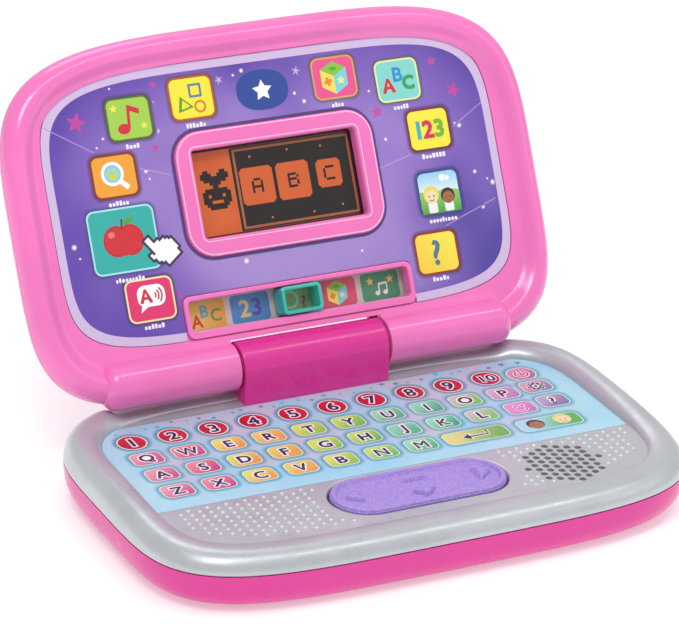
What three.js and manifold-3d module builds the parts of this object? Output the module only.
// A toy laptop computer: a clamshell base with a printed keyboard, a rocking cursor pad and a speaker,
// and a hinged lid with a picture panel, a small display and a sliding mode selector.
// Millimetres. X to the right, Y to the back, Z up. Origin at the middle of the base's flat underside,
// which stands one foot height above the table. Inside this file heights are counted from the table.
import * as THREE from 'three';
import { mergeVertices } from 'three/addons/utils/BufferGeometryUtils.js';
import Module from 'manifold-3d';

const wasm = await Module();
wasm.setup();

// ---- Driving dimensions: case -------------------------------------------------------------------
const BASE_WIDTH = 250;
const BASE_DEPTH = 158;
const CORNER_POWER = 4.3; // exponent of the rounded outline: higher is squarer
const FOOT_HEIGHT = 1;
const PARTING_HEIGHT = 18; // height of the seam between the two base shells
const DECK_HEIGHT = 24.3; // height of the flat deck that holds the keyboard
const FLOOR_INSET = 11; // how far the base's underside is drawn in from the seam
const WALL = 2.2;
const GAP = 0.3; // gap between touching pieces
const RIM_WIDTH = 16.3;
const RIM_HEIGHT = 5.2; // rim crest above the deck at the sides
const FRONT_RIM_HEIGHT = 1.4;
const BACK_RIM_HEIGHT = 2.2; // rim crest under the lid's barrels
const OUTLINE_POINTS = 56;

// ---- Driving dimensions: keyboard ---------------------------------------------------------------
const KEY_PITCH = 18.66;
const KEY_COLUMNS = 11;
const KEY_ROWS = 4;
const KEY_CONTACT = 3; // radius of the hole in the spacer sheet under each key
const ROW_PITCH = 15.7;
const NUMBER_ROW_INSET = 13.9; // from the overlay's back edge to the middle of the number row
const OVERLAY_SIDE_INSET = 15.3; // from the base's side to the overlay's
const OVERLAY_LENGTH = 76.4;
const OVERLAY_BLOCK_GAP = 0.5; // between the overlay and the hinge block
const OVERLAY_BACK_RADIUS = 16;
const OVERLAY_FRONT_RADIUS = 4;
const OVERLAY_THICKNESS = 0.6;
const SHEET_THICKNESS = 0.4;

// ---- Driving dimensions: cursor pad and speaker -------------------------------------------------
const PAD_LENGTH = 78.4;
const PAD_DEPTH = 30;
const PAD_PROUD = 1.3;
const PAD_HEIGHT = 5;
const PAD_RIM = 8; // twice the width of the rim round the pad's dish
const MOAT_GAP = 0.8; // clear space around the pad
const MOAT_DEPTH = 5.4;
const NUB_INSET_X = 8.7; // from the pad's end to the middle of its nub
const NUB_INSET_Y = 7.3; // from the pad's side to the middle of its nub
const PIVOT_RADIUS = 3;
const SPEAKER_SPACE = 27.2; // from the pad's end to the middle of the speaker
const SPEAKER_SETBACK = 3.5; // how much nearer to the front the speaker is than the pad
const SPEAKER_FIELD = 17; // radius of the field of sound holes
const SOUND_HOLE = 2.6;
const SOUND_STEP_X = 4.19;
const SOUND_STEP_Y = 4.07;

// ---- Driving dimensions: hinge ------------------------------------------------------------------
const HINGE_INSET = 1.9; // from the base's back to the hinge block's
const HINGE_RISE = 14.2; // hinge axis above the deck
const BLOCK_WIDTH = 69;
const BLOCK_RADIUS = 10.6;
const BARREL_RADIUS = 10.2;
const BARREL_INSET = 26; // from the lid's side to its barrel's end
const BARREL_END = 0.7; // length of a barrel's round end as a share of its radius
const BARREL_RIDGE = 1.2; // how far the ridge above the barrels is below the rim's crest
const HINGE_SIDE_GAP = 1.4; // gap between the block and each barrel
const HINGE_PIN_RADIUS = 3;
const HINGE_PIN_LENGTH = 22;
const LID_LEAN = 27.7; // degrees that the open lid leans back from upright

// ---- Driving dimensions: lid --------------------------------------------------------------------
const LID_SIDE_INSET = 1; // how far the lid's sides are drawn in from the base's
const LID_LENGTH = 157.4;
const LID_HEEL = 11.5; // how far the lid reaches behind the hinge axis
const LID_FRONT_POWER = 5; // outline exponents of the lid's hinged half and of its free half
const LID_BACK_POWER = 4.1;
const PANEL_LIFT = 2.1; // picture panel's face in front of the hinge axis
const LID_PARTING = -1.2;
const LID_BACK = -11.9;
const LID_RIM_HEIGHT = 5;
const LID_RIM_WIDTH = 16.4;
const LID_BACK_INSET = 10;
const PANEL_SIDE_INSET = 17.5; // from the lid's side to the panel's
const PANEL_TOP_INSET = 14.3; // from the lid's free edge to the panel's
const PANEL_HEEL_INSET = 25.1; // from the lid's hinged edge to the panel's
const PANEL_POWER = 5.2;
const PANEL_THICKNESS = 0.5;
const SCREEN_WIDTH = 77.6;
const SCREEN_LENGTH = 38;
const SCREEN_TOP_INSET = 57; // from the panel's free edge to the middle of the screen
const SCREEN_RECESS = 4.5;
const SCREEN_BORDER = 8.2;
const SCREEN_BORDER_PROUD = 1.7;

// ---- Driving dimensions: mode selector ----------------------------------------------------------
const SLOT_WIDTH = 104.6;
const SLOT_LENGTH = 13;
const SLOT_SPACE = 6.1; // from the notch for the hinge block to the slot
const SLOT_DEPTH = 7; // from the panel's face to the picture card
const SLOT_BORDER = 2.2;
const SLIDER_WIDTH = 19.2;
const SLIDER_WALL = 1.8;
const SLIDER_PROUD = 3;
const SLIDER_FIT = 0.35;

// ---- Driving dimensions: wiring -----------------------------------------------------------------
const LOOM_DIAMETER = 3;
const LOOM_X = 20; // where the wires rise into the hinge block, to the left of its middle
const RIBBON_WIDTH = 16;
const BOARD_LEFT = 70; // how far the main board reaches to the left and right of the middle
const BOARD_RIGHT = 44;

// ---- Driving dimensions: battery compartment ----------------------------------------------------
const CELL_DIAMETER = 14.3;
const CELL_LENGTH = 50.2;
const CELL_CLEARANCE = 0.4;
const CELL_ROW_GAP = 0.8;
const BATTERY_INSET = 29.4; // from the overlay's back edge to the middle of the compartment
const SPRING_SPACE = 6; // room for the contacts at one end of the cells
const DOOR_THICKNESS = 1.6;
const DOOR_TAB = 10; // the door's end beyond the cells, which takes its screw

// ---- Driving dimensions: screws and feet --------------------------------------------------------
const SCREW_HEAD = 2.6; // radii of the screws' heads and shanks
const SCREW_SHANK = 1.3;
const POST_RADIUS = 3.6;
const BASE_SCREW_LENGTH = 12;
const LID_SCREW_LENGTH = 9.5;
const DOOR_SCREW_LENGTH = 7;
const FOOT_RADIUS = 5;

// ---- Places that follow from these --------------------------------------------------------------
const halfWidth = BASE_WIDTH / 2;
const halfDepth = BASE_DEPTH / 2;
const hingeY = halfDepth - HINGE_INSET - BLOCK_RADIUS;
const hingeZ = DECK_HEIGHT + HINGE_RISE;
const overlayWidth = BASE_WIDTH - 2 * OVERLAY_SIDE_INSET;
const overlayBack = hingeY - BLOCK_RADIUS - OVERLAY_BLOCK_GAP;
const overlayFront = overlayBack - OVERLAY_LENGTH;
const numberRowY = overlayBack - NUMBER_ROW_INSET;
const padY = overlayFront - WALL - MOAT_GAP - PAD_DEPTH / 2;
const speakerX = PAD_LENGTH / 2 + SPEAKER_SPACE;
const speakerY = padY - SPEAKER_SETBACK;
const batteryY = overlayBack - BATTERY_INSET;
const lidWidth = BASE_WIDTH - 2 * LID_SIDE_INSET;
const lidCentre = LID_LENGTH / 2 - LID_HEEL; // from the hinge axis to the middle of the lid
const lidEnd = LID_LENGTH - LID_HEEL;
const FAR = 30; // beyond the lid's thickness, for cuts that go right through
const barrelReach = lidWidth / 2 - BARREL_INSET; // half the distance between the barrels' outer ends
const panelWidth = lidWidth - 2 * PANEL_SIDE_INSET;
const panelLength = LID_LENGTH - PANEL_TOP_INSET - PANEL_HEEL_INSET;
const panelCentre = lidEnd - PANEL_TOP_INSET - panelLength / 2;
const screenCentre = lidEnd - PANEL_TOP_INSET - SCREEN_TOP_INSET;
const notchEdge = BLOCK_RADIUS + 0.6;
const slotCentre = notchEdge + SLOT_SPACE + SLOT_LENGTH / 2;

// ---- Finishes -----------------------------------------------------------------------------------
function finish(color, roughness, metalness = 0) {
  return new THREE.MeshStandardMaterial({ color, roughness, metalness });
}
const PINK = finish(0xf77ac6, 0.25);
const MAGENTA = finish(0xe23a9b, 0.3);
const SILVER = finish(0xc9cdd2, 0.35, 0.6);
const PRINT_BLUE = finish(0xa8d9ef, 0.3);
const PURPLE = finish(0x9a7bd0, 0.35);
const PANEL_VIOLET = finish(0x6a4cb0, 0.3);
const TURQUOISE = finish(0x2fb5a8, 0.25);
const CARD = finish(0xd9d2cf, 0.5);
const LCD = finish(0x2a1410, 0.15);
const CLEAR_FILM = finish(0xe6e0cc, 0.4);
const BOARD = finish(0x1f6b3a, 0.6);
const STEEL = finish(0xb9bcc0, 0.3, 1);
const RUBBER = finish(0x3a3a3d, 0.9);
const BLACK_PLASTIC = finish(0x1d1d20, 0.5);
const PAPER = finish(0x2b2b2e, 0.9);
const CELL_WRAP = finish(0x3c7a4c, 0.4);
const WIRE = finish(0x8c8f94, 0.5);

// ---- Solids -------------------------------------------------------------------------------------
function solid(geometry) {
  const bare = geometry.clone();
  bare.deleteAttribute('normal');
  bare.deleteAttribute('uv');
  const merged = mergeVertices(bare, 1e-4);
  return new wasm.Manifold(new wasm.Mesh({
    numProp: 3,
    vertProperties: new Float32Array(merged.attributes.position.array),
    triVerts: new Uint32Array(merged.index.array),
  }));
}

function geometryOf(body) {
  const mesh = body.getMesh();
  const geometry = new THREE.BufferGeometry();
  geometry.setAttribute('position', new THREE.BufferAttribute(new Float32Array(mesh.vertProperties), 3));
  geometry.setIndex(new THREE.BufferAttribute(new Uint32Array(mesh.triVerts), 1));
  geometry.computeVertexNormals();
  return geometry;
}

function cut(body, tools) {
  return tools.reduce((rest, tool) => rest.subtract(tool), body);
}

function join(bodies) {
  return bodies.reduce((whole, next) => whole.add(next));
}

// ---- Outlines and basic shapes ------------------------------------------------------------------
function outline(halfWidth, halfDepth, centreY, frontPower = CORNER_POWER, backPower = CORNER_POWER) {
  const points = [];
  for (let i = 0; i < OUTLINE_POINTS; i += 1) {
    const angle = (2 * Math.PI * i) / OUTLINE_POINTS;
    const c = Math.cos(angle);
    const s = Math.sin(angle);
    const power = s < 0 ? frontPower : backPower;
    const reach = (Math.abs(c) ** power + Math.abs(s) ** power) ** (-1 / power);
    points.push(new THREE.Vector2(halfWidth * c * reach, centreY + halfDepth * s * reach));
  }
  return points;
}

// Closed skin through rings of equal point count; the first and last rings are closed by flat fans.
function loft(rings) {
  const count = rings[0].length;
  const vertices = rings.flat();
  const faces = [];
  for (let r = 0; r + 1 < rings.length; r += 1) {
    for (let i = 0; i < count; i += 1) {
      const a = r * count + i;
      const b = r * count + ((i + 1) % count);
      faces.push([a, b, b + count], [a, b + count, a + count]);
    }
  }
  for (const end of [0, rings.length - 1]) {
    const ring = rings[end];
    const centre = ring.reduce((sum, p) => sum.clone().add(p), new THREE.Vector3()).divideScalar(count);
    vertices.push(centre);
    const hub = vertices.length - 1;
    for (let i = 0; i < count; i += 1) {
      const a = end * count + i;
      const b = end * count + ((i + 1) % count);
      faces.push(end === 0 ? [hub, b, a] : [hub, a, b]);
    }
  }
  const geometry = new THREE.BufferGeometry();
  geometry.setAttribute('position', new THREE.Float32BufferAttribute(vertices.flatMap((p) => p.toArray()), 3));
  geometry.setIndex(faces.flat());
  return geometry;
}

function roundedRectangle(width, length, radius, x = 0, y = 0, frontRadius = radius) {
  const w = width / 2;
  const h = length / 2;
  const shape = new THREE.Shape();
  shape.absarc(x + w - radius, y + h - radius, radius, 0, Math.PI / 2);
  shape.absarc(x - w + radius, y + h - radius, radius, Math.PI / 2, Math.PI);
  shape.absarc(x - w + frontRadius, y - h + frontRadius, frontRadius, Math.PI, 1.5 * Math.PI);
  shape.absarc(x + w - frontRadius, y - h + frontRadius, frontRadius, 1.5 * Math.PI, 2 * Math.PI);
  shape.closePath();
  return shape;
}

function slab(shape, bottom, top, curveSegments = 4) {
  const geometry = new THREE.ExtrudeGeometry(shape, { depth: top - bottom, bevelEnabled: false, curveSegments });
  return geometry.translate(0, 0, bottom);
}

// Slab whose upper edge is rounded by a small bevel.
function softSlab(shape, bottom, top, bevel, curveSegments = 4) {
  const geometry = new THREE.ExtrudeGeometry(shape, {
    depth: top - bottom - 2 * bevel,
    bevelEnabled: true,
    bevelThickness: bevel,
    bevelSize: bevel,
    bevelOffset: -bevel,
    bevelSegments: 1,
    curveSegments,
  });
  return geometry.translate(0, 0, bottom + bevel);
}

function box(x0, x1, y0, y1, z0, z1) {
  const geometry = new THREE.BoxGeometry(x1 - x0, y1 - y0, z1 - z0);
  return geometry.translate((x0 + x1) / 2, (y0 + y1) / 2, (z0 + z1) / 2);
}

function disc(radius, bottom, top, x = 0, y = 0, segments = 20) {
  const geometry = new THREE.CylinderGeometry(radius, radius, top - bottom, segments);
  return geometry.rotateX(Math.PI / 2).translate(x, y, (bottom + top) / 2);
}

function rod(radius, x0, x1, y, z, segments = 20) {
  const geometry = new THREE.CylinderGeometry(radius, radius, x1 - x0, segments);
  return geometry.rotateZ(Math.PI / 2).translate((x0 + x1) / 2, y, z);
}

// Outline in the YZ plane, extruded along X.
function prism(shape, x0, x1, curveSegments = 8) {
  const geometry = new THREE.ExtrudeGeometry(shape, { depth: x1 - x0, bevelEnabled: false, curveSegments });
  return geometry.applyMatrix4(new THREE.Matrix4().set(0, 0, 1, x0, 1, 0, 0, 0, 0, 1, 0, 0, 0, 0, 0, 1));
}

function turned(profile, segments = 20) {
  return new THREE.LatheGeometry(profile.map(([r, z]) => new THREE.Vector2(r, z)), segments).rotateX(Math.PI / 2);
}

const mix = (a, b, t) => a + (b - a) * t;
const clamp01 = (t) => Math.min(1, Math.max(0, t));
const smooth = (t) => clamp01(t) ** 2 * (3 - 2 * clamp01(t));

// ---- Base shells --------------------------------------------------------------------------------
// Rim crest above the deck: full at the sides, low along the front, and low under the barrels.
function rimHeight(x, y) {
  const front = smooth((y + halfDepth) / (0.55 * BASE_DEPTH));
  const side = mix(FRONT_RIM_HEIGHT, RIM_HEIGHT, front);
  const underLid = smooth((y - (hingeY - 2.4 * BARREL_RADIUS)) / BARREL_RADIUS)
    * (1 - smooth((Math.abs(x) - barrelReach + 4) / 10));
  return mix(side, BACK_RIM_HEIGHT, underLid);
}

// The base's top skin, drawn in by `inset` from the seam. `share` is the skin's height as a share of the
// rim's rise.
const RIM_PROFILE = [
  [0, 0], [0.04, 0.36], [0.16, 0.68], [0.32, 0.9], [0.52, 1], [0.72, 0.93], [0.88, 0.62], [0.96, 0.18], [1, 0],
];

function topSkin(offset, lowest) {
  const profile = offset > 0 ? RIM_PROFILE.filter((step, index) => index % 2 === 0) : RIM_PROFILE;
  return profile.map(([across, share], index) => {
    const inset = offset + across * (RIM_WIDTH - offset);
    return outline(halfWidth - inset, halfDepth - inset, 0).map((p) => {
      const crest = DECK_HEIGHT + rimHeight(p.x, p.y);
      const rising = across <= 0.52;
      const height = rising ? mix(lowest, crest, share) : mix(DECK_HEIGHT, crest, share);
      return new THREE.Vector3(p.x, p.y, index === 0 ? lowest : height - offset);
    });
  });
}

const pocketFloor = DECK_HEIGHT - OVERLAY_THICKNESS - 2 * SHEET_THICKNESS - 3 * GAP;
const overlayShape = (grow) => roundedRectangle(
  overlayWidth + 2 * grow,
  OVERLAY_LENGTH + 2 * grow,
  OVERLAY_BACK_RADIUS + grow,
  0,
  (overlayBack + overlayFront) / 2,
  OVERLAY_FRONT_RADIUS + grow,
);

function stadium(length, depth, y) {
  const reach = (length - depth) / 2;
  const shape = new THREE.Shape();
  shape.absarc(reach, y, depth / 2, -Math.PI / 2, Math.PI / 2);
  shape.absarc(-reach, y, depth / 2, Math.PI / 2, 1.5 * Math.PI);
  shape.closePath();
  return shape;
}

const moatFloor = DECK_HEIGHT - MOAT_DEPTH;

function soundHoles(bottom, top) {
  const holes = [];
  const columns = Math.floor(SPEAKER_FIELD / SOUND_STEP_X);
  for (let i = -columns; i <= columns; i += 1) {
    const shift = Math.abs(i % 2) / 2;
    for (let j = -5; j <= 5; j += 1) {
      const x = i * SOUND_STEP_X;
      const y = (j + shift) * SOUND_STEP_Y;
      if (Math.hypot(x, y) <= SPEAKER_FIELD) {
        holes.push(solid(disc(SOUND_HOLE / 2, bottom, top, speakerX + x, speakerY + y, 6)));
      }
    }
  }
  return holes;
}

const blockFront = hingeY - BLOCK_RADIUS;
const blockBack = hingeY + BLOCK_RADIUS;
const blockHalf = BLOCK_WIDTH / 2;
const blockFoot = DECK_HEIGHT;

function blockShape(shrink, foot) {
  const radius = BLOCK_RADIUS - shrink;
  const shape = new THREE.Shape();
  shape.moveTo(hingeY + radius, foot);
  shape.absarc(hingeY, hingeZ, radius, 0, Math.PI);
  shape.lineTo(hingeY - radius, foot);
  shape.closePath();
  return shape;
}

function makeTopShell() {
  const outer = topSkin(0, PARTING_HEIGHT + GAP / 2);
  const inner = topSkin(WALL, PARTING_HEIGHT + GAP / 2);
  inner.unshift(inner[0].map((p) => new THREE.Vector3(p.x, p.y, PARTING_HEIGHT - 1)));
  const under = solid(slab(overlayShape(WALL), pocketFloor - WALL, DECK_HEIGHT - WALL / 2));
  const well = solid(slab(stadium(PAD_LENGTH + 2 * (MOAT_GAP + WALL), PAD_DEPTH + 2 * (MOAT_GAP + WALL), padY),
    moatFloor - WALL, DECK_HEIGHT - WALL / 2));
  const body = join([cut(solid(loft(outer)), [solid(loft(inner))]), under, well]);
  return cut(body, [
    solid(slab(overlayShape(GAP), pocketFloor, DECK_HEIGHT + RIM_HEIGHT)),
    solid(slab(stadium(PAD_LENGTH + 2 * MOAT_GAP, PAD_DEPTH + 2 * MOAT_GAP, padY), moatFloor, DECK_HEIGHT + 2)),
    solid(disc(PIVOT_RADIUS + 1.5, moatFloor - 2 * WALL, moatFloor + 1, 0, padY)),
    solid(box(-blockHalf - GAP, blockHalf + GAP, blockFront - GAP, blockBack + GAP, DECK_HEIGHT - GAP,
      hingeZ)),
    solid(disc(LOOM_DIAMETER, DECK_HEIGHT - 2 * WALL, hingeZ, -LOOM_X, hingeY, 12)),
    ...soundHoles(DECK_HEIGHT - 2 * WALL, DECK_HEIGHT + 2),
  ]);
}

// Compartment for two cells side by side, open at the bottom.
const cellTray = CELL_DIAMETER + 2 * CELL_CLEARANCE;
const trayDepth = 2 * CELL_DIAMETER + CELL_ROW_GAP + 2 * CELL_CLEARANCE;
const trayLength = CELL_LENGTH + SPRING_SPACE + 2 * CELL_CLEARANCE;
const doorBottom = FOOT_HEIGHT + GAP;
const doorTop = doorBottom + DOOR_THICKNESS;
const cellZ = doorTop + GAP + CELL_DIAMETER / 2;
const trayTop = doorTop + GAP + cellTray;
const doorLip = WALL - 2 * GAP;
const doorWidth = trayLength + 2 * doorLip + DOOR_TAB;
const doorDepth = trayDepth + 2 * doorLip;
const doorScrewX = trayLength / 2 + doorLip + DOOR_TAB / 2;
const doorShape = (grow) => roundedRectangle(doorWidth + 2 * grow, doorDepth + 2 * grow, 3, DOOR_TAB / 2, batteryY);

function makeBottomShell() {
  const floor = (inset, height) => outline(halfWidth - inset, halfDepth - inset, 0)
    .map((p) => new THREE.Vector3(p.x, p.y, height));
  const side = [[FLOOR_INSET, 0], [0.62 * FLOOR_INSET, 0.09], [0.34 * FLOOR_INSET, 0.26], [0.14 * FLOOR_INSET, 0.5],
    [0.04 * FLOOR_INSET, 0.76], [0, 1]];
  const rise = PARTING_HEIGHT - GAP / 2 - FOOT_HEIGHT;
  const outer = side.map(([inset, share]) => floor(inset, FOOT_HEIGHT + share * rise));
  const inner = side.filter((step, index) => index % 2 === 0)
    .map(([inset, share]) => floor(inset + WALL, FOOT_HEIGHT + WALL + share * (rise - WALL)));
  inner.push(floor(WALL, PARTING_HEIGHT + 1));
  const tray = solid(box(-trayLength / 2 - WALL, trayLength / 2 + WALL, batteryY - trayDepth / 2 - WALL,
    batteryY + trayDepth / 2 + WALL, FOOT_HEIGHT + WALL / 2, trayTop + 1.4));
  const tab = solid(box(trayLength / 2 + WALL / 2, doorScrewX + DOOR_TAB / 2 + WALL, batteryY - doorDepth / 2,
    batteryY + doorDepth / 2, FOOT_HEIGHT + WALL / 2, doorScrewTop + WALL));
  const posts = screwPosts.map(([x, y]) => (
    solid(disc(POST_RADIUS, FOOT_HEIGHT + WALL / 2, PARTING_HEIGHT - 4, x, y, 12))));
  const body = join([cut(solid(loft(outer)), [solid(loft(inner))]), tray, tab, ...posts]);
  return cut(body, [
    solid(box(-trayLength / 2, trayLength / 2, batteryY - trayDepth / 2, batteryY + trayDepth / 2, -1, trayTop)),
    solid(slab(doorShape(GAP), -1, doorTop + GAP)),
    solid(disc(SCREW_SHANK + GAP, -1, doorScrewTop + 1, doorScrewX, batteryY, 12)),
    ...screwPosts.map(([x, y]) => solid(disc(SCREW_HEAD + GAP, -1, FOOT_HEIGHT + 5, x, y, 12))),
    ...screwPosts.map(([x, y]) => solid(disc(SCREW_SHANK + GAP, -1, PARTING_HEIGHT, x, y, 12))),
    ...feet.map(([x, y]) => solid(disc(FOOT_RADIUS + GAP, -1, FOOT_HEIGHT + 0.8, x, y, 16))),
  ]);
}

// ---- Screws and feet ----------------------------------------------------------------------------
const mirrored = (places) => places.flatMap(([x, y]) => [[-x, y], [x, y]]);
const screwPosts = mirrored([[halfWidth - 51, halfDepth - 33], [halfWidth - 21, -6],
  [halfWidth - 62, -(halfDepth - 17)]]);
const feet = mirrored([[halfWidth - 33, halfDepth - 27], [halfWidth - 33, -(halfDepth - 27)]]);

// Pan-head screw along Z, its head at the bottom.
function screw(length) {
  return turned([[0, 0], [SCREW_HEAD, 0], [SCREW_HEAD, 1.2], [SCREW_SHANK, 1.8], [SCREW_SHANK, length - 1.5],
    [0, length]], 12);
}

const doorScrewTop = FOOT_HEIGHT + DOOR_SCREW_LENGTH;

// Short screw with a thin flat head, which sits in the door's shallow sink.
function flatScrew(length) {
  return turned([[0, 0], [SCREW_HEAD, 0], [SCREW_HEAD, 0.8], [SCREW_SHANK, 0.8], [SCREW_SHANK, length - 1],
    [0, length]], 12);
}

const cells = [-1, 1].map((side) => batteryY + side * (CELL_DIAMETER + CELL_ROW_GAP) / 2);

function cell(direction) {
  const r = CELL_DIAMETER / 2;
  const l = CELL_LENGTH / 2;
  const profile = [[0, -l], [r - 0.8, -l], [r, -l + 0.8], [r, l - 2], [r - 0.8, l - 1.4], [2.7, l - 1.4], [2.7, l],
    [0, l]];
  return turned(profile, 20).rotateY(direction * Math.PI / 2);
}

// Flat strip that joins the two cells at one end of the compartment.
function contactStrip(x, thickness) {
  return box(x, x + thickness, batteryY - trayDepth / 2 + 1, batteryY + trayDepth / 2 - 1, cellZ - 5, cellZ + 5);
}

class Coil extends THREE.Curve {
  constructor(radius, turns, length) {
    super();
    Object.assign(this, { radius, turns, length });
  }

  getPoint(t) {
    const angle = 2 * Math.PI * this.turns * t;
    return new THREE.Vector3(this.length * t, this.radius * Math.cos(angle), this.radius * Math.sin(angle));
  }
}

function coil(radius, wire, turns, length) {
  const section = new THREE.Shape();
  section.absarc(0, 0, wire / 2, 0, 2 * Math.PI);
  return new THREE.ExtrudeGeometry(section, {
    steps: turns * 8,
    bevelEnabled: false,
    curveSegments: 3,
    extrudePath: new Coil(radius, turns, length),
  });
}

// ---- Cursor pad ---------------------------------------------------------------------------------
const padTop = DECK_HEIGHT + PAD_PROUD;
const padBottom = padTop - PAD_HEIGHT;

function makePad() {
  const body = solid(softSlab(stadium(PAD_LENGTH, PAD_DEPTH, padY), padBottom, padTop, 1, 10));
  const dish = solid(slab(stadium(PAD_LENGTH - PAD_RIM, PAD_DEPTH - PAD_RIM, padY), padTop - 0.5, padTop + 1, 10));
  const socket = solid(disc(PIVOT_RADIUS + GAP, padBottom - 1, padBottom + 2, 0, padY));
  const nubs = [0, 1, 2, 3].map((quarter) => {
    const angle = (quarter * Math.PI) / 2;
    const alongX = quarter % 2 === 0;
    const reach = alongX ? PAD_LENGTH / 2 - NUB_INSET_X : PAD_DEPTH / 2 - NUB_INSET_Y;
    const nub = new THREE.ConeGeometry(3.1, 2.1, 3).rotateX(Math.PI / 2).rotateZ(-Math.PI / 2 + angle);
    return solid(nub.translate(Math.cos(angle) * reach, padY + Math.sin(angle) * reach, padTop + 0.2));
  });
  return join([cut(body, [dish, socket]), ...nubs]);
}

// ---- Lid ----------------------------------------------------------------------------------------
// Lid pieces are drawn lying flat, with the hinge axis along X through the origin, Y towards the lid's
// free edge and Z towards the person who looks at it.
const lidHalfWidth = lidWidth / 2;
const lidHalfLength = LID_LENGTH / 2;
const lidOutline = (inset) => outline(lidHalfWidth - inset, lidHalfLength - inset, lidCentre, LID_FRONT_POWER,
  LID_BACK_POWER);
const level = (points, z) => points.map((p) => new THREE.Vector3(p.x, p.y, z));
const ledge = PANEL_LIFT + 0.5;
const lidCrest = PANEL_LIFT + LID_RIM_HEIGHT;
const panelFloor = PANEL_LIFT - PANEL_THICKNESS - GAP;
const notchHalf = blockHalf + HINGE_SIDE_GAP;
const barrelJoin = BARREL_RADIUS - 1.5;
const slotBack = PANEL_LIFT - SLOT_DEPTH;
const flangeThickness = 1;

function panelShape(grow) {
  const corners = outline(panelWidth / 2 + grow, panelLength / 2 + grow, panelCentre, PANEL_POWER + 1, PANEL_POWER);
  return new THREE.Shape(corners);
}

const screenShape = (grow, radius) => roundedRectangle(SCREEN_WIDTH + 2 * grow, SCREEN_LENGTH + 2 * grow, radius, 0,
  screenCentre);
const slotShape = (grow, radius = 1.5) => roundedRectangle(SLOT_WIDTH + 2 * grow, SLOT_LENGTH + 2 * grow, radius, 0,
  slotCentre);

// Section of a barrel and its web to the back shell, in the lid's YZ plane.
function barrelSection() {
  const shape = new THREE.Shape();
  shape.moveTo(barrelJoin, LID_BACK);
  shape.lineTo(0, -BARREL_RADIUS);
  shape.absarc(0, 0, BARREL_RADIUS, -Math.PI / 2, -1.5 * Math.PI + 0.0001, true);
  shape.lineTo(0.8 * BARREL_RADIUS, lidCrest - BARREL_RIDGE);
  shape.lineTo(barrelJoin + 4, panelFloor + 0.4);
  shape.lineTo(barrelJoin, panelFloor - WALL);
  shape.closePath();
  return shape;
}

function makeFrontBezel() {
  const profile = [[0, 0], [0.03, 0.4], [0.14, 0.72], [0.3, 0.92], [0.48, 1]];
  const inside = [[0.68, 0.93], [0.85, 0.68], [0.95, 0.32], [1, 0]];
  const bottom = LID_PARTING + GAP / 2;
  const ring = (offset, across, z) => level(lidOutline(offset + across * (LID_RIM_WIDTH - offset)), z);
  const ringsOf = (offset) => [
    ...profile.filter((step, index) => offset === 0 || index % 2 === 0)
      .map(([a, s]) => ring(offset, a, s === 0 ? bottom : mix(bottom, lidCrest - offset, s))),
    ...inside.filter((step, index) => offset === 0 || index % 2 === 1)
      .map(([a, s]) => ring(offset, a, mix(ledge, lidCrest, s) - offset)),
  ];
  const hollow = ringsOf(WALL);
  hollow.unshift(level(hollow[0], bottom - 1));
  const shell = cut(solid(loft(ringsOf(0))), [solid(loft(hollow))]);
  const trimmed = cut(shell, [solid(box(-barrelReach, barrelReach, -2 * BARREL_RADIUS, barrelJoin, -FAR, FAR))]);
  const barrels = [-1, 1].map((side) => {
    const [x0, x1] = side < 0 ? [-barrelReach, -notchHalf] : [notchHalf, barrelReach];
    const end = new THREE.SphereGeometry(BARREL_RADIUS, 20, 14).rotateZ(Math.PI / 2).scale(BARREL_END, 1, 1);
    return solid(prism(barrelSection(), x0, x1)).add(solid(end.translate(side * barrelReach, 0, 0)));
  });
  const skirt = solid(slab(slotShape(1.4, 2.5), slotBack + flangeThickness + 2 * GAP + 0.3, ledge - 0.4));
  const border = solid(slab(slotShape(SLOT_BORDER, 3), panelFloor - 1, PANEL_LIFT + 1));
  const notchWall = solid(box(-notchHalf - 0.5, notchHalf + 0.5, notchEdge, notchEdge + 1.8, LID_BACK + WALL + 1,
    panelFloor));
  const windowSkirt = solid(slab(screenShape(1.6, 3), PANEL_LIFT - SCREEN_RECESS, panelFloor));
  const body = join([trimmed, ...barrels, skirt, notchWall, windowSkirt]);
  const pocket = solid(slab(panelShape(GAP), panelFloor, lidCrest + 1, 1)).subtract(border);
  const boreEnd = blockHalf + HINGE_PIN_LENGTH / 2 + 4.4;
  const bores = [[-boreEnd, -notchHalf + 1], [notchHalf - 1, boreEnd]]
    .map(([x0, x1]) => solid(rod(HINGE_PIN_RADIUS + GAP, x0, x1, 0, 0)));
  return cut(join([cut(body, [pocket]), border]), [
    solid(slab(slotShape(0), -FAR, FAR)),
    solid(slab(screenShape(0, 1.5), -FAR, FAR)),
    solid(box(-notchHalf, notchHalf, -FAR, notchEdge, -FAR, FAR)),
    ...bores,
  ]);
}

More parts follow.
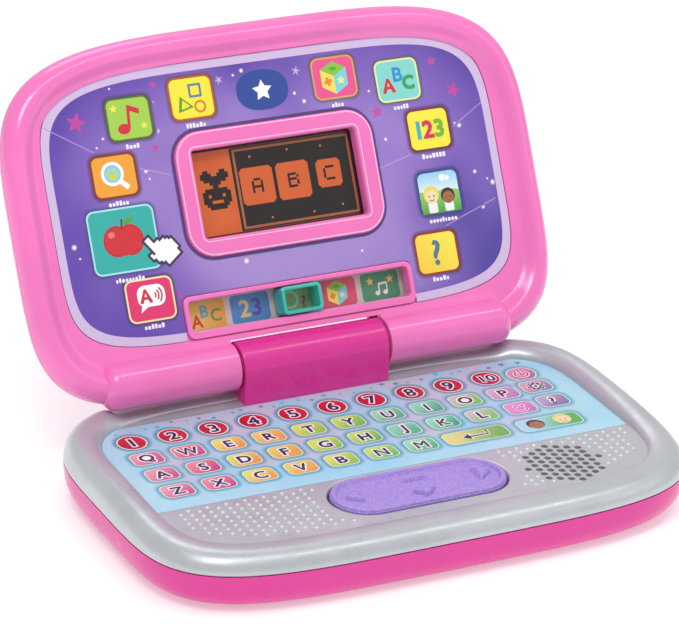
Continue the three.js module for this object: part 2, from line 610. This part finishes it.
function makeLidBack() {
  const rise = LID_PARTING - GAP / 2 - LID_BACK;
  const side = [[1, 0], [0.6, 0.07], [0.3, 0.25], [0.1, 0.52], [0, 1]];
  const outer = side.map(([a, s]) => level(lidOutline(a * LID_BACK_INSET), LID_BACK + s * rise));
  const inner = side.filter((step, index) => index % 2 === 0)
    .map(([a, s]) => level(lidOutline(a * LID_BACK_INSET + WALL), LID_BACK + WALL + s * (rise - WALL)));
  inner.push(level(lidOutline(WALL), LID_PARTING + 1));
  const posts = lidScrews.map(([x, y]) => (
    solid(disc(POST_RADIUS, LID_BACK + WALL / 2, LID_PARTING - 1.5, x, y, 12))));
  const body = join([cut(solid(loft(outer)), [solid(loft(inner))]), ...posts]);
  const reach = barrelReach + BARREL_END * BARREL_RADIUS + GAP;
  return cut(body, [
    solid(box(-reach, reach, -FAR, barrelJoin + GAP, -FAR, FAR)),
    solid(box(-notchHalf, notchHalf, -FAR, notchEdge + GAP, -FAR, FAR)),
    ...lidScrews.map(([x, y]) => solid(disc(SCREW_HEAD + GAP, LID_BACK - 1, LID_BACK + 3, x, y, 12))),
    ...lidScrews.map(([x, y]) => solid(disc(SCREW_SHANK + GAP, LID_BACK - 1, 5, x, y, 12))),
  ]);
}

const lidScrewX = lidHalfWidth - 22;
const lidScrews = mirrored([[lidScrewX, lidCentre - 40], [lidScrewX, lidCentre + 46]]);

function makePanel() {
  const footHalf = SLOT_WIDTH / 2 + SLOT_BORDER + GAP;
  return cut(solid(slab(panelShape(0), PANEL_LIFT - PANEL_THICKNESS, PANEL_LIFT, 1)), [
    solid(slab(screenShape(SCREEN_BORDER + GAP, 12), -FAR, FAR)),
    solid(slab(slotShape(SLOT_BORDER + GAP, 3), -FAR, FAR)),
    solid(box(-footHalf, footHalf, -FAR, slotCentre, -FAR, FAR)),
  ]);
}

function makeScreenBorder() {
  const outer = solid(
    softSlab(screenShape(SCREEN_BORDER, 12), panelFloor + GAP, PANEL_LIFT + SCREEN_BORDER_PROUD, 0.5));
  return cut(outer, [solid(slab(screenShape(0, 1.5), -FAR, FAR))]);
}

function makeSlider() {
  const length = SLOT_LENGTH - 2 * SLIDER_FIT;
  const flangeBottom = slotBack + GAP;
  const frame = (grow, radius) => (
    roundedRectangle(SLIDER_WIDTH + 2 * grow, length + 2 * grow, radius, 0, slotCentre));
  const body = solid(softSlab(frame(0, 2), flangeBottom, PANEL_LIFT + SLIDER_PROUD, 0.6));
  const flange = solid(slab(frame(1.2, 2), flangeBottom, flangeBottom + flangeThickness));
  const across = solid(box(-SLIDER_WIDTH / 2, SLIDER_WIDTH / 2, 0, 2 * slotCentre, -FAR, FAR));
  return cut(join([body, flange.intersect(across)]), [solid(slab(frame(-SLIDER_WALL, 1), -FAR, FAR))]);
}

// ---- Assembly -----------------------------------------------------------------------------------
const laptop = new THREE.Group();
laptop.position.z = -FOOT_HEIGHT;

function add(parent, name, shape, material, position = [0, 0, 0]) {
  const geometry = shape instanceof THREE.BufferGeometry ? geometryOf(solid(shape)) : geometryOf(shape);
  const mesh = new THREE.Mesh(geometry, material);
  mesh.name = name;
  mesh.position.set(...position);
  parent.add(mesh);
}

function addBase() {
  add(laptop, 'base_bottom_shell', makeBottomShell(), MAGENTA);
  add(laptop, 'base_top_shell', makeTopShell(), SILVER);
  const overlayBottom = DECK_HEIGHT - OVERLAY_THICKNESS;
  add(laptop, 'keyboard_overlay', slab(overlayShape(0), overlayBottom, DECK_HEIGHT), PRINT_BLUE);
  const spacerTop = overlayBottom - GAP;
  const holes = [];
  for (let row = 0; row < KEY_ROWS; row += 1) {
    for (let column = 0; column < KEY_COLUMNS; column += 1) {
      const x = (column - (KEY_COLUMNS - 1) / 2) * KEY_PITCH;
      holes.push(solid(disc(KEY_CONTACT, 0, DECK_HEIGHT, x, numberRowY - row * ROW_PITCH, 6)));
    }
  }
  const spacer = solid(slab(overlayShape(-1), spacerTop - SHEET_THICKNESS, spacerTop));
  add(laptop, 'key_spacer_sheet', cut(spacer, holes), CLEAR_FILM);
  const contactTop = spacerTop - SHEET_THICKNESS - GAP;
  add(laptop, 'key_contact_sheet', slab(overlayShape(-1), contactTop - SHEET_THICKNESS, contactTop), CLEAR_FILM);
  screwPosts.forEach(([x, y], i) => add(laptop, `base_screw_${i + 1}`, screw(BASE_SCREW_LENGTH), STEEL, [x, y,
    FOOT_HEIGHT + 3]));
  feet.forEach(([x, y], i) => {
    add(laptop, `rubber_foot_${i + 1}`, disc(FOOT_RADIUS, 0, FOOT_HEIGHT + 0.5, x, y, 16), RUBBER);
  });
}

function addBatteries() {
  const cellX = (side) => (side * (SPRING_SPACE / 2)) / 1.5;
  add(laptop, 'battery_cell_back', cell(1), CELL_WRAP, [cellX(-1), cells[1], cellZ]);
  add(laptop, 'battery_cell_front', cell(-1), CELL_WRAP, [cellX(-1), cells[0], cellZ]);
  const springEnd = cellX(-1) + CELL_LENGTH / 2 + 0.5;
  const springLength = trayLength / 2 - 1.2 - springEnd;
  add(laptop, 'battery_spring_back', coil(3.4, 0.7, 3, springLength), STEEL, [springEnd, cells[1], cellZ]);
  add(laptop, 'battery_spring_front', coil(3.4, 0.7, 3, springLength), STEEL, [springEnd, cells[0], cellZ]);
  add(laptop, 'battery_contact_left', contactStrip(-trayLength / 2 + GAP, 0.4), STEEL);
  add(laptop, 'battery_contact_right', contactStrip(trayLength / 2 - GAP - 0.4, 0.4), STEEL);
  const door = solid(softSlab(doorShape(0), doorBottom, doorTop, 0.3));
  const screwHole = solid(disc(SCREW_SHANK + GAP, 0, 10, doorScrewX, batteryY, 12));
  const screwSink = solid(disc(SCREW_HEAD + GAP, 0, doorBottom + 0.8, doorScrewX, batteryY, 12));
  add(laptop, 'battery_door', cut(door, [screwHole, screwSink]), MAGENTA);
  add(laptop, 'battery_door_screw', flatScrew(DOOR_SCREW_LENGTH), STEEL, [doorScrewX, batteryY, FOOT_HEIGHT]);
}

function addElectronics() {
  const boardTop = moatFloor - WALL - 4;
  const front = -halfDepth + 26;
  const back = batteryY - trayDepth / 2 - WALL - 3;
  const board = solid(box(-BOARD_LEFT, BOARD_RIGHT, front, back, boardTop - 1.6, boardTop));
  add(laptop, 'main_circuit_board', board, BOARD);
  add(laptop, 'wire_loom', makeLoom(), WIRE);
  add(laptop, 'pad_switch_dome', turned([[0, 0], [8, 0], [8, 0.8], [5, 1.2], [3.4, 2.4], [0, 2.4]], 16), RUBBER,
    [0, padY, boardTop + GAP]);
  const frameTop = DECK_HEIGHT - WALL - GAP;
  const outer = SPEAKER_FIELD + 1.8;
  add(laptop, 'speaker_frame', turned([[outer - 1.5, 0], [outer - 1.5, -2.2], [10.6, -6.2], [8.4, -6.2],
    [8.4, -7], [11, -7], [outer, -1.4], [outer, 0], [outer - 1.5, 0]], 28), STEEL, [speakerX, speakerY, frameTop]);
  add(laptop, 'speaker_cone', turned([[0, -4.2], [5, -4.4], [outer - 2.4, -1.3],
    [outer - 2.4, -0.7], [4, -2.9], [0, -2.6]], 24), PAPER,
    [speakerX, speakerY, frameTop]);
  add(laptop, 'speaker_magnet', disc(8, -10.5, -5.4, 0, 0, 24), STEEL, [speakerX, speakerY, frameTop]);
}

// Wires from the main board round the battery compartment and up into the hinge block.
function makeLoom() {
  const board = batteryY - trayDepth / 2 - WALL - 2;
  const side = trayLength / 2 + WALL + LOOM_DIAMETER;
  const behind = batteryY + trayDepth / 2 + WALL + LOOM_DIAMETER;
  const low = moatFloor - WALL - 4 + LOOM_DIAMETER;
  const route = new THREE.CatmullRomCurve3([
    [-side, board, low], [-side, batteryY, low - 2], [-side + 1, behind, low - 2], [-LOOM_X - 3, hingeY - 5, low],
    [-LOOM_X, hingeY, DECK_HEIGHT - 2], [-LOOM_X, hingeY, hingeZ - 8],
  ].map((p) => new THREE.Vector3(...p)));
  const section = new THREE.Shape();
  section.absarc(0, 0, LOOM_DIAMETER / 2, 0, 2 * Math.PI);
  const options = { steps: 24, bevelEnabled: false, curveSegments: 4, extrudePath: route };
  return new THREE.ExtrudeGeometry(section, options);
}

function addCursorPad() {
  add(laptop, 'cursor_pad', makePad(), PURPLE);
  const pivotBottom = moatFloor - WALL - 1;
  add(laptop, 'cursor_pad_pivot', disc(PIVOT_RADIUS, pivotBottom, padBottom + 1.6, 0, padY), BLACK_PLASTIC);
}

function addHinge() {
  const shell = cut(solid(prism(blockShape(0, blockFoot), -blockHalf, blockHalf, 14)), [
    solid(prism(blockShape(WALL, blockFoot - 1), -blockHalf + WALL, blockHalf - WALL, 10)),
    solid(rod(HINGE_PIN_RADIUS + GAP, -blockHalf - 1, -blockHalf + WALL + 1, hingeY, hingeZ)),
    solid(rod(HINGE_PIN_RADIUS + GAP, blockHalf - WALL - 1, blockHalf + 1, hingeY, hingeZ)),
  ]);
  add(laptop, 'hinge_block', shell, MAGENTA);
  for (const [name, side] of [['left', -1], ['right', 1]]) {
    const inner = blockHalf - HINGE_PIN_LENGTH / 2;
    const outer = blockHalf + HINGE_PIN_LENGTH / 2;
    const [x0, x1] = side < 0 ? [-outer, -inner] : [inner, outer];
    add(laptop, `hinge_pin_${name}`, rod(HINGE_PIN_RADIUS, x0, x1, hingeY, hingeZ), STEEL);
    const washer = turned([[HINGE_PIN_RADIUS + GAP, -0.3], [7, -0.3], [7, 0.3], [HINGE_PIN_RADIUS + GAP, 0.3],
      [HINGE_PIN_RADIUS + GAP, -0.3]]);
    add(laptop, `hinge_washer_${name}`, washer.rotateY(Math.PI / 2), STEEL,
      [side * (blockHalf + HINGE_SIDE_GAP / 2), hingeY, hingeZ]);
  }
}

function addLid() {
  const lid = new THREE.Group();
  lid.position.set(0, hingeY, hingeZ);
  lid.rotation.x = THREE.MathUtils.degToRad(90 - LID_LEAN);
  laptop.add(lid);
  add(lid, 'lid_front_bezel', makeFrontBezel(), PINK);
  add(lid, 'lid_back_shell', makeLidBack(), PINK);
  add(lid, 'lid_picture_panel', makePanel(), PANEL_VIOLET);
  add(lid, 'screen_border', makeScreenBorder(), PINK);
  const glassTop = PANEL_LIFT - SCREEN_RECESS - GAP;
  add(lid, 'lcd_glass', slab(screenShape(1.2, 1), glassTop - 2, glassTop, 2), LCD);
  const holder = solid(slab(screenShape(4, 2), glassTop - 2, glassTop));
  add(lid, 'lcd_holder', cut(holder, [solid(slab(screenShape(1.5, 1), -FAR, FAR, 2))]), BLACK_PLASTIC);
  const boardBottom = glassTop - 3.9;
  add(lid, 'lcd_board', slab(screenShape(4, 1), boardBottom, glassTop - 2 - GAP, 2), BOARD);
  const ribbonTop = screenCentre - SCREEN_LENGTH / 2 - 4 - GAP;
  const ribbonFoot = slotCentre + SLOT_LENGTH / 2 + 2.4 + GAP;
  add(lid, 'screen_ribbon_cable', box(-2.5 * RIBBON_WIDTH, -1.5 * RIBBON_WIDTH, ribbonFoot, ribbonTop, boardBottom,
    boardBottom + 0.4), WIRE);
  add(lid, 'mode_slider', makeSlider(), TURQUOISE);
  add(lid, 'mode_card', slab(slotShape(2.4, 1.5), slotBack - 0.8, slotBack), CARD);
  add(lid, 'mode_switch_board', slab(slotShape(2.4, 1.5), slotBack - 2.4, slotBack - 0.8 - GAP), BOARD);
  lidScrews.forEach(([x, y], i) => {
    add(lid, `lid_screw_${i + 1}`, screw(LID_SCREW_LENGTH), STEEL, [x, y, LID_BACK + 1.2]);
  });
}

addBase();
addBatteries();
addElectronics();
addCursorPad();
addHinge();
addLid();

export default laptop;
